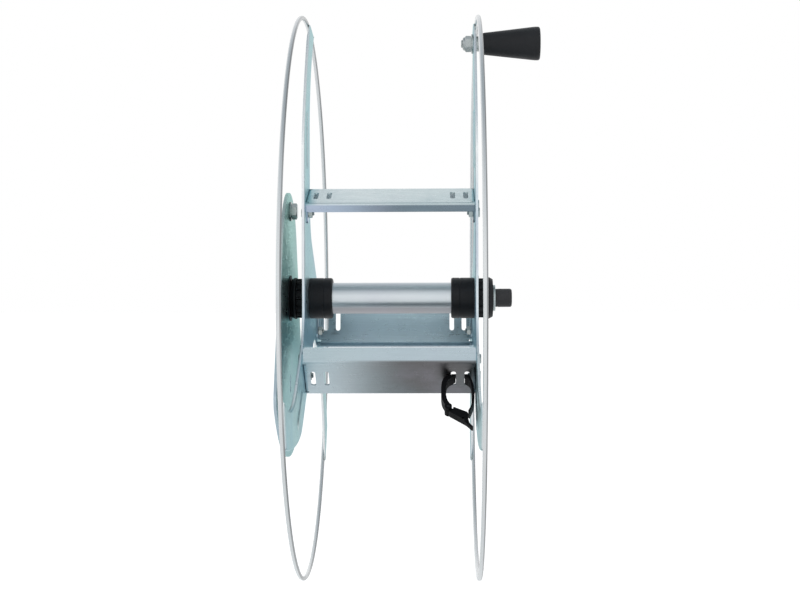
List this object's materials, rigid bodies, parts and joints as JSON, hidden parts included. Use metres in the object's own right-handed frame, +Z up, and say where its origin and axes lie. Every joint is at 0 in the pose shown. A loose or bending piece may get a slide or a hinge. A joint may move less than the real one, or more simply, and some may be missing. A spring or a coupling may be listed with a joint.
{
  "type": "hose holder",
  "caption": "Wall-mounted hose reel: wire hoops on three-armed pressed flanges, channel bars, a steel axle on a wall plate, a crank grip and a gated hose clip.",
  "frame": {"origin": "on the back face of the wall plate, on the axle's axis", "axes": "+X out of the wall along the axle, +Z up, +Y to the rear side of the picture's view"},
  "size_m": [0.233, 0.512, 0.5119],
  "materials": {
    "wall_plate_zinc": "dull zinc plate, greenish",
    "sheet_zinc": "bright zinc plate, slightly blue",
    "hoop_wire": "bright zinc plate",
    "tube_steel": "bright zinc plate, smooth",
    "fastener_zinc": "bright zinc plate",
    "hub_plastic": "moulded, satin",
    "knob_plastic": "moulded, fine texture",
    "grip_plastic": "moulded, satin",
    "clip_plastic": "moulded, satin"
  },
  "bodies": {
    "bracket": {"wall_plate": "wall_plate_zinc", "axle": "fastener_zinc", "top_bolt": "fastener_zinc", "top_bolt_washer": "fastener_zinc", "thrust_washer": "hub_plastic", "end_washer": "fastener_zinc", "end_knob": "knob_plastic"},
    "drum": {"inner_hoop": "hoop_wire", "outer_hoop": "hoop_wire", "inner_flange": "sheet_zinc", "outer_flange": "sheet_zinc", "top_bar": "sheet_zinc", "rear_bar": "sheet_zinc", "front_bar": "sheet_zinc", "inner_bar_bolts": "fastener_zinc", "inner_bar_nuts": "fastener_zinc", "outer_bar_bolts": "fastener_zinc", "outer_bar_nuts": "fastener_zinc", "core_tube": "tube_steel", "inner_socket": "hub_plastic", "outer_socket": "hub_plastic", "inner_bearing": "hub_plastic", "outer_bearing": "hub_plastic", "crank_bolt": "fastener_zinc", "crank_spacer": "fastener_zinc", "crank_washer": "fastener_zinc", "crank_nut": "fastener_zinc", "clip_body": "clip_plastic", "clip_pin": "fastener_zinc"},
    "grip": {"crank_grip": "grip_plastic"},
    "gate": {"clip_gate": "clip_plastic"}
  },
  "joints": [
    {"name": "drum_spin", "type": "hinge", "parent": "bracket", "child": "drum", "pos_m": [0, 0, 0], "axis": [1, 0, 0], "continuous": true},
    {"name": "grip_spin", "type": "hinge", "parent": "drum", "child": "grip", "pos_m": [0.2, 0.008, 0.2345], "axis": [1, 0, 0], "continuous": true},
    {"name": "gate_swing", "type": "hinge", "parent": "drum", "child": "gate", "pos_m": [0.14711, -0.08751, -0.09637], "axis": [0, 0.7705, -0.6374], "range_deg": [0, 90]}
  ]
}
